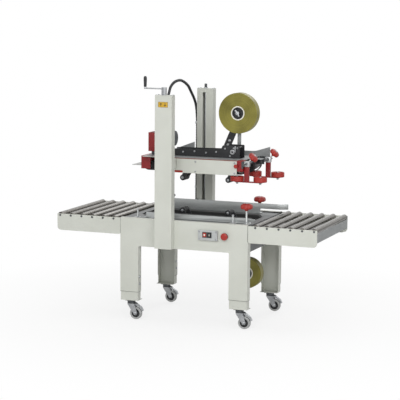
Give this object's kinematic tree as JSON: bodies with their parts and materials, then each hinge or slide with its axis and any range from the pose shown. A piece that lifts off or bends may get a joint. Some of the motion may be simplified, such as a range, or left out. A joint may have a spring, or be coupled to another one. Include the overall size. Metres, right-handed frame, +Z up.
{
  "type": "carton sealer",
  "caption": "Carton taping machine with belt drives above and below, roller tables, height-adjustable head on two columns, tape units and braked casters.",
  "frame": {"origin": "on the floor, below the middle of the machine's length and width", "axes": "+X along the conveyor to the infeed end, -Y to the operator's side with the switches, +Z up"},
  "size_m": [1.77, 0.7746, 1.578],
  "materials": {
    "body_paint": "satin powder coat",
    "deck_steel": "brushed, slightly oiled",
    "roller_steel": "drawn tube",
    "zinc_plate": "bright zinc",
    "caster_tyre": "matt grey",
    "black_rubber": "matt",
    "black_paint": "satin",
    "black_plastic": "moulded",
    "dark_red_paint": "semi-gloss",
    "red_plastic": "moulded",
    "tape_film": "clear film over adhesive",
    "motor_paint": "satin"
  },
  "bodies": {
    "machine_body": {"front_side_panel": "body_paint", "rear_side_panel": "body_paint", "deck_plate": "deck_steel", "lower_belt_and_tape_unit": "black_rubber", "infeed_table_frame": "body_paint", "outfeed_table_frame": "body_paint", "front_column": "body_paint", "rear_column": "body_paint", "cable_conduit": "black_plastic", "switch_box": "deck_steel"},
    "head": {"head_chassis": "body_paint", "head_front_panel": "body_paint", "top_belts": "black_rubber", "drive_guard": "dark_red_paint", "head_motor": "motor_paint", "upper_tape_frame": "black_paint"},
    "outfeed_roller_1": {"outfeed_roller_1": "roller_steel"},
    "outfeed_roller_2": {"outfeed_roller_2": "roller_steel"},
    "outfeed_roller_3": {"outfeed_roller_3": "roller_steel"},
    "outfeed_roller_4": {"outfeed_roller_4": "roller_steel"},
    "outfeed_roller_5": {"outfeed_roller_5": "roller_steel"},
    "outfeed_roller_6": {"outfeed_roller_6": "roller_steel"},
    "infeed_roller_1": {"infeed_roller_1": "roller_steel"},
    "infeed_roller_2": {"infeed_roller_2": "roller_steel"},
    "infeed_roller_3": {"infeed_roller_3": "roller_steel"},
    "infeed_roller_4": {"infeed_roller_4": "roller_steel"},
    "infeed_roller_5": {"infeed_roller_5": "roller_steel"},
    "infeed_roller_6": {"infeed_roller_6": "roller_steel"},
    "front_outfeed_leg_extension": {"front_outfeed_leg_extension": "body_paint"},
    "front_outfeed_caster_fork": {"front_outfeed_caster_fork": "zinc_plate"},
    "front_outfeed_caster_wheel": {"front_outfeed_caster_wheel": "caster_tyre"},
    "front_infeed_leg_extension": {"front_infeed_leg_extension": "body_paint"},
    "front_infeed_caster_fork": {"front_infeed_caster_fork": "zinc_plate"},
    "front_infeed_caster_wheel": {"front_infeed_caster_wheel": "caster_tyre"},
    "rear_outfeed_leg_extension": {"rear_outfeed_leg_extension": "body_paint"},
    "rear_outfeed_caster_fork": {"rear_outfeed_caster_fork": "zinc_plate"},
    "rear_outfeed_caster_wheel": {"rear_outfeed_caster_wheel": "caster_tyre"},
    "rear_infeed_leg_extension": {"rear_infeed_leg_extension": "body_paint"},
    "rear_infeed_caster_fork": {"rear_infeed_caster_fork": "zinc_plate"},
    "rear_infeed_caster_wheel": {"rear_infeed_caster_wheel": "caster_tyre"},
    "front_screw_and_crank": {"front_screw_and_crank": "zinc_plate"},
    "crank_grip": {"crank_grip": "black_plastic"},
    "rear_screw": {"rear_screw": "zinc_plate"},
    "upper_applying_arm": {"upper_applying_arm": "black_paint"},
    "upper_buffing_arm": {"upper_buffing_arm": "black_paint"},
    "upper_tape_roll": {"upper_tape_roll": "tape_film"},
    "lower_applying_arm": {"lower_applying_arm": "black_paint"},
    "lower_buffing_arm": {"lower_buffing_arm": "black_paint"},
    "lower_tape_roll": {"lower_tape_roll": "tape_film"},
    "front_side_guide": {"front_side_guide": "deck_steel"},
    "rear_side_guide": {"rear_side_guide": "deck_steel"},
    "start_button": {"start_button": "black_plastic"},
    "stop_button": {"stop_button": "red_plastic"},
    "emergency_stop": {"emergency_stop": "red_plastic"},
    "front_press_post": {"front_press_post": "dark_red_paint"},
    "front_outfeed_press_roller": {"front_outfeed_press_roller": "red_plastic"},
    "front_infeed_press_roller": {"front_infeed_press_roller": "red_plastic"},
    "rear_press_post": {"rear_press_post": "dark_red_paint"},
    "rear_outfeed_press_roller": {"rear_outfeed_press_roller": "red_plastic"},
    "rear_infeed_press_roller": {"rear_infeed_press_roller": "red_plastic"}
  },
  "joints": [
    {"name": "outfeed_roller_1_spin", "type": "hinge", "parent": "machine_body", "child": "outfeed_roller_1", "pos_m": [-0.483, 0, 0.6545], "axis": [0, 1, 0], "continuous": true},
    {"name": "outfeed_roller_2_spin", "type": "hinge", "parent": "machine_body", "child": "outfeed_roller_2", "pos_m": [-0.5593, 0, 0.6545], "axis": [0, 1, 0], "continuous": true},
    {"name": "outfeed_roller_3_spin", "type": "hinge", "parent": "machine_body", "child": "outfeed_roller_3", "pos_m": [-0.6356, 0, 0.6545], "axis": [0, 1, 0], "continuous": true},
    {"name": "outfeed_roller_4_spin", "type": "hinge", "parent": "machine_body", "child": "outfeed_roller_4", "pos_m": [-0.7119, 0, 0.6545], "axis": [0, 1, 0], "continuous": true},
    {"name": "outfeed_roller_5_spin", "type": "hinge", "parent": "machine_body", "child": "outfeed_roller_5", "pos_m": [-0.7882, 0, 0.6545], "axis": [0, 1, 0], "continuous": true},
    {"name": "outfeed_roller_6_spin", "type": "hinge", "parent": "machine_body", "child": "outfeed_roller_6", "pos_m": [-0.8645, 0, 0.6545], "axis": [0, 1, 0], "continuous": true},
    {"name": "infeed_roller_1_spin", "type": "hinge", "parent": "machine_body", "child": "infeed_roller_1", "pos_m": [0.483, 0, 0.6545], "axis": [0, 1, 0], "continuous": true},
    {"name": "infeed_roller_2_spin", "type": "hinge", "parent": "machine_body", "child": "infeed_roller_2", "pos_m": [0.5593, 0, 0.6545], "axis": [0, 1, 0], "continuous": true},
    {"name": "infeed_roller_3_spin", "type": "hinge", "parent": "machine_body", "child": "infeed_roller_3", "pos_m": [0.6356, 0, 0.6545], "axis": [0, 1, 0], "continuous": true},
    {"name": "infeed_roller_4_spin", "type": "hinge", "parent": "machine_body", "child": "infeed_roller_4", "pos_m": [0.7119, 0, 0.6545], "axis": [0, 1, 0], "continuous": true},
    {"name": "infeed_roller_5_spin", "type": "hinge", "parent": "machine_body", "child": "infeed_roller_5", "pos_m": [0.7882, 0, 0.6545], "axis": [0, 1, 0], "continuous": true},
    {"name": "infeed_roller_6_spin", "type": "hinge", "parent": "machine_body", "child": "infeed_roller_6", "pos_m": [0.8645, 0, 0.6545], "axis": [0, 1, 0], "continuous": true},
    {"name": "front_outfeed_leg_height", "type": "slide", "parent": "machine_body", "child": "front_outfeed_leg_extension", "axis": [0, 0, -1], "range_m": [-0.05, 0.1]},
    {"name": "front_outfeed_caster_swivel", "type": "hinge", "parent": "front_outfeed_leg_extension", "child": "front_outfeed_caster_fork", "pos_m": [-0.3725, -0.297, 0.11], "axis": [0, 0, 1], "continuous": true},
    {"name": "front_outfeed_wheel_spin", "type": "hinge", "parent": "front_outfeed_caster_fork", "child": "front_outfeed_caster_wheel", "pos_m": [-0.3395, -0.297, 0.04], "axis": [0, 1, 0], "continuous": true},
    {"name": "front_infeed_leg_height", "type": "slide", "parent": "machine_body", "child": "front_infeed_leg_extension", "axis": [0, 0, -1], "range_m": [-0.05, 0.1]},
    {"name": "front_infeed_caster_swivel", "type": "hinge", "parent": "front_infeed_leg_extension", "child": "front_infeed_caster_fork", "pos_m": [0.3725, -0.297, 0.11], "axis": [0, 0, 1], "continuous": true},
    {"name": "front_infeed_wheel_spin", "type": "hinge", "parent": "front_infeed_caster_fork", "child": "front_infeed_caster_wheel", "pos_m": [0.4055, -0.297, 0.04], "axis": [0, 1, 0], "continuous": true},
    {"name": "rear_outfeed_leg_height", "type": "slide", "parent": "machine_body", "child": "rear_outfeed_leg_extension", "axis": [0, 0, -1], "range_m": [-0.05, 0.1]},
    {"name": "rear_outfeed_caster_swivel", "type": "hinge", "parent": "rear_outfeed_leg_extension", "child": "rear_outfeed_caster_fork", "pos_m": [-0.3725, 0.297, 0.11], "axis": [0, 0, 1], "continuous": true},
    {"name": "rear_outfeed_wheel_spin", "type": "hinge", "parent": "rear_outfeed_caster_fork", "child": "rear_outfeed_caster_wheel", "pos_m": [-0.3395, 0.297, 0.04], "axis": [0, 1, 0], "continuous": true},
    {"name": "rear_infeed_leg_height", "type": "slide", "parent": "machine_body", "child": "rear_infeed_leg_extension", "axis": [0, 0, -1], "range_m": [-0.05, 0.1]},
    {"name": "rear_infeed_caster_swivel", "type": "hinge", "parent": "rear_infeed_leg_extension", "child": "rear_infeed_caster_fork", "pos_m": [0.3725, 0.297, 0.11], "axis": [0, 0, 1], "continuous": true},
    {"name": "rear_infeed_wheel_spin", "type": "hinge", "parent": "rear_infeed_caster_fork", "child": "rear_infeed_caster_wheel", "pos_m": [0.4055, 0.297, 0.04], "axis": [0, 1, 0], "continuous": true},
    {"name": "crank_turn", "type": "hinge", "parent": "machine_body", "child": "front_screw_and_crank", "pos_m": [-0.123, -0.3613, 1.48], "axis": [0, 0, 1], "range_deg": [-7776, 4176]},
    {"name": "grip_spin", "type": "hinge", "parent": "front_screw_and_crank", "child": "crank_grip", "pos_m": [-0.252, -0.3613, 1.54], "axis": [0, 0, 1], "continuous": true},
    {"name": "rear_screw_turn", "type": "hinge", "parent": "machine_body", "child": "rear_screw", "pos_m": [-0.123, 0.3613, 1.48], "axis": [0, 0, 1], "range_deg": [-7776, 4176]},
    {"name": "head_lift", "type": "slide", "parent": "machine_body", "child": "head", "axis": [0, 0, 1], "range_m": [-0.115, 0.215]},
    {"name": "upper_applying_swing", "type": "hinge", "parent": "head", "child": "upper_applying_arm", "pos_m": [0.255, 0, 1.01], "axis": [0, 1, 0], "range_deg": [0, 40], "stiffness_Nm_per_rad": 2, "springref_deg": -17},
    {"name": "upper_buffing_swing", "type": "hinge", "parent": "head", "child": "upper_buffing_arm", "pos_m": [-0.06, 0, 1.01], "axis": [0, 1, 0], "range_deg": [0, 40]},
    {"name": "upper_roll_spin", "type": "hinge", "parent": "head", "child": "upper_tape_roll", "pos_m": [0.248, 0, 1.337], "axis": [0, 1, 0], "continuous": true},
    {"name": "lower_applying_swing", "type": "hinge", "parent": "machine_body", "child": "lower_applying_arm", "pos_m": [0.255, 0, 0.585], "axis": [0, -1, 0], "range_deg": [0, 40], "stiffness_Nm_per_rad": 3, "springref_deg": -28},
    {"name": "lower_buffing_swing", "type": "hinge", "parent": "machine_body", "child": "lower_buffing_arm", "pos_m": [-0.06, 0, 0.585], "axis": [0, -1, 0], "range_deg": [0, 40]},
    {"name": "lower_roll_spin", "type": "hinge", "parent": "machine_body", "child": "lower_tape_roll", "pos_m": [0.318, 0, 0.305], "axis": [0, 1, 0], "continuous": true},
    {"name": "front_press_post_slide", "type": "slide", "parent": "head", "child": "front_press_post", "axis": [0, -1, 0], "range_m": [-0.09, 0.01]},
    {"name": "front_outfeed_press_roller_spin", "type": "hinge", "parent": "front_press_post", "child": "front_outfeed_press_roller", "pos_m": [0.293, -0.15, 0.934], "axis": [0, 0, 1], "continuous": true},
    {"name": "front_infeed_press_roller_spin", "type": "hinge", "parent": "front_press_post", "child": "front_infeed_press_roller", "pos_m": [0.448, -0.15, 0.934], "axis": [0, 0, 1], "continuous": true},
    {"name": "front_side_guide_slide", "type": "slide", "parent": "machine_body", "child": "front_side_guide", "axis": [0, -1, 0], "range_m": [-0.09, 0.03]},
    {"name": "rear_press_post_slide", "type": "slide", "parent": "head", "child": "rear_press_post", "axis": [0, 1, 0], "range_m": [-0.09, 0.01]},
    {"name": "rear_outfeed_press_roller_spin", "type": "hinge", "parent": "rear_press_post", "child": "rear_outfeed_press_roller", "pos_m": [0.308, 0.15, 0.934], "axis": [0, 0, 1], "continuous": true},
    {"name": "rear_infeed_press_roller_spin", "type": "hinge", "parent": "rear_press_post", "child": "rear_infeed_press_roller", "pos_m": [0.463, 0.15, 0.934], "axis": [0, 0, 1], "continuous": true},
    {"name": "rear_side_guide_slide", "type": "slide", "parent": "machine_body", "child": "rear_side_guide", "axis": [0, 1, 0], "range_m": [-0.09, 0.03]},
    {"name": "stop_button_press", "type": "slide", "parent": "machine_body", "child": "stop_button", "axis": [0, 1, 0], "range_m": [0, 0.004], "stiffness_N_per_m": 400, "springref_m": -0.003},
    {"name": "start_button_press", "type": "slide", "parent": "machine_body", "child": "start_button", "axis": [0, 1, 0], "range_m": [0, 0.004], "stiffness_N_per_m": 400, "springref_m": -0.003},
    {"name": "emergency_stop_press", "type": "slide", "parent": "machine_body", "child": "emergency_stop", "axis": [0, 1, 0], "range_m": [0, 0.005], "stiffness_N_per_m": 1500, "springref_m": -0.003}
  ],
  "couplings": [
    {"joint": "crank_turn", "follows": "head_lift", "rad_per_m": -628.32},
    {"joint": "rear_screw_turn", "follows": "head_lift", "rad_per_m": -628.32},
    {"joint": "upper_buffing_swing", "follows": "upper_applying_swing", "ratio": 1},
    {"joint": "lower_buffing_swing", "follows": "lower_applying_swing", "ratio": 1}
  ]
}
